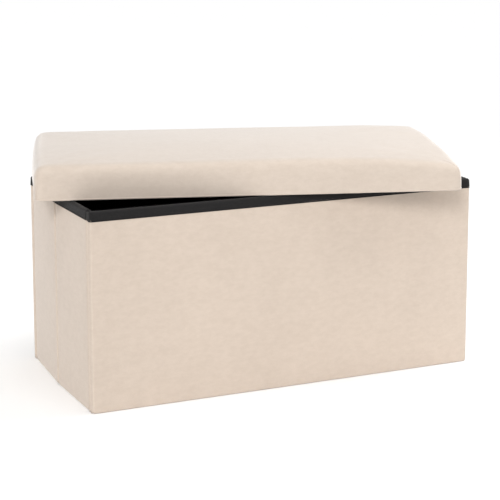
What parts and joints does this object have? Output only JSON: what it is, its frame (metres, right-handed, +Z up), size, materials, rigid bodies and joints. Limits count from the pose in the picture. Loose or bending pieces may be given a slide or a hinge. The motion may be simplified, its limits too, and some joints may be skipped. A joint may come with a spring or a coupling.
{
  "type": "folding storage bench",
  "caption": "Rectangular velvet-covered storage bench: hinged panels with centre-folding ends, a hinged floor, and a loose padded lid lying slightly askew on the rim.",
  "frame": {"origin": "centre of the box's footprint on the floor, on the underside of the floor panel", "axes": "+X along the bench's length, -Y is the long front face, +Z up"},
  "size_m": [0.8469, 0.576, 0.432],
  "materials": {
    "velvet": "matte",
    "lining": "matte",
    "binding": "matte",
    "fibreboard": "matte",
    "foam": "matte",
    "steel": "satin"
  },
  "bodies": {
    "back": {"back_board": "fibreboard", "back_cover": "velvet", "back_liner": "lining", "back_binding": "binding", "left_rear_hinge": "velvet", "right_rear_hinge": "velvet"},
    "front": {"front_board": "fibreboard", "front_cover": "velvet", "front_liner": "lining", "front_binding": "binding", "left_front_hinge": "velvet", "right_front_hinge": "velvet"},
    "left_rear_end": {"left_rear_end_board": "fibreboard", "left_rear_end_cover": "velvet", "left_rear_end_liner": "lining", "left_rear_end_binding": "binding", "left_fold_hinge": "velvet"},
    "left_front_end": {"left_front_end_board": "fibreboard", "left_front_end_cover": "velvet", "left_front_end_liner": "lining", "left_front_end_binding": "binding"},
    "right_rear_end": {"right_rear_end_board": "fibreboard", "right_rear_end_cover": "velvet", "right_rear_end_liner": "lining", "right_rear_end_binding": "binding", "right_fold_hinge": "velvet"},
    "right_front_end": {"right_front_end_board": "fibreboard", "right_front_end_cover": "velvet", "right_front_end_liner": "lining", "right_front_end_binding": "binding"},
    "floor": {"floor_board": "fibreboard", "floor_liner": "lining", "floor_base_cloth": "lining", "floor_pull_tab": "binding"},
    "vent": {"vent_eyelet": "steel"},
    "lid": {"lid_board": "fibreboard", "lid_foam": "foam", "lid_cover": "velvet", "lid_liner": "lining", "lid_staples": "steel"}
  },
  "joints": [
    {"name": "end_fold", "type": "hinge", "parent": "back", "child": "left_rear_end", "pos_m": [-0.368, 0.1655, 0], "axis": [0, 0, 1], "range_deg": [0, 92.2], "deforming": ["floor_board", "floor_liner", "floor_base_cloth", "floor_pull_tab"]},
    {"name": "left_centre_fold", "type": "hinge", "parent": "left_rear_end", "child": "left_front_end", "pos_m": [-0.38737, 0, 0], "axis": [0, 0, 1], "range_deg": [-184.4, 0]},
    {"name": "left_front_corner", "type": "hinge", "parent": "left_front_end", "child": "front", "pos_m": [-0.368, -0.1655, 0], "axis": [0, 0, 1], "range_deg": [0, 92.2]},
    {"name": "right_rear_corner", "type": "hinge", "parent": "back", "child": "right_rear_end", "pos_m": [0.368, 0.1655, 0], "axis": [0, 0, 1], "range_deg": [-92.2, 0]},
    {"name": "right_centre_fold", "type": "hinge", "parent": "right_rear_end", "child": "right_front_end", "pos_m": [0.38737, 0, 0], "axis": [0, 0, 1], "range_deg": [0, 184.4]},
    {"name": "floor_lift", "type": "hinge", "parent": "back", "child": "floor", "pos_m": [0, 0.1722, 0.006], "axis": [-1, 0, 0], "range_deg": [0, 90]},
    {"name": "lid_lift", "type": "slide", "parent": "back", "child": "vent", "axis": [0, 0, 1], "range_m": [0, 0.45]},
    {"name": "lid_turn", "type": "hinge", "parent": "vent", "child": "lid", "pos_m": [0.021, 0.062, 0.361], "axis": [0, 0, 1], "range_deg": [0, 16.3]}
  ],
  "couplings": [
    {"joint": "left_centre_fold", "follows": "end_fold", "ratio": -2},
    {"joint": "left_front_corner", "follows": "end_fold", "ratio": 1},
    {"joint": "right_rear_corner", "follows": "end_fold", "ratio": -1},
    {"joint": "right_centre_fold", "follows": "end_fold", "ratio": 2},
    {"joint": "floor_lift", "follows": "end_fold", "ratio": 0.976}
  ]
}
